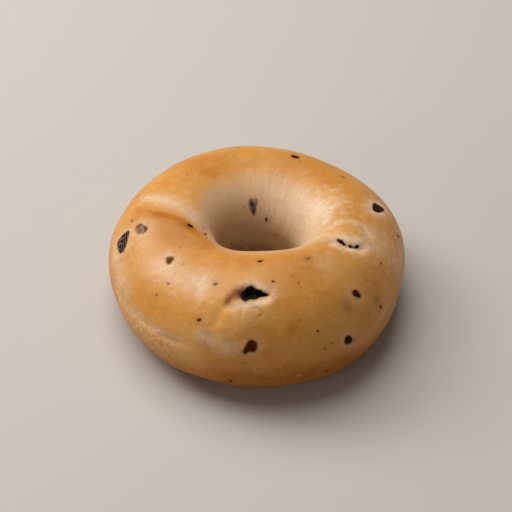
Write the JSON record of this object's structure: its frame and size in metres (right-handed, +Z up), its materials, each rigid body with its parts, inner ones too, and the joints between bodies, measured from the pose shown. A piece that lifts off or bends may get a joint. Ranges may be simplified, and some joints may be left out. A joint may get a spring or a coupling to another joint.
{
  "type": "cranberry bagel",
  "caption": "Ring of baked bagel dough with an open centre hole, soft folds, a flat base and pieces of dried fruit set in its crust.",
  "frame": {"origin": "middle of the bagel's box, on the flat base it rests on", "axes": "+Z up through the hole, +X to the right and -Y towards the camera as the picture shows it"},
  "size_m": [0.1114, 0.1098, 0.0441],
  "materials": {
    "crust": "golden brown baked crust, satin",
    "fruit": "dark dried fruit, slightly moist"
  },
  "bodies": {
    "root": {"bagel": "crust", "front_berry": "fruit", "left_berry": "fruit", "left_fruit": "fruit", "left_crumb": "fruit", "low_front_fruit": "fruit", "right_back_fruit": "fruit", "back_top_fruit": "fruit", "fold_fruit_inner": "fruit", "fold_fruit_outer": "fruit", "right_fruit": "fruit", "low_right_fruit": "fruit", "hole_fruit": "fruit", "back_berry": "fruit", "back_left_fruit": "fruit", "back_right_fruit": "fruit", "right_side_fruit": "fruit"}
  },
  "joints": []
}
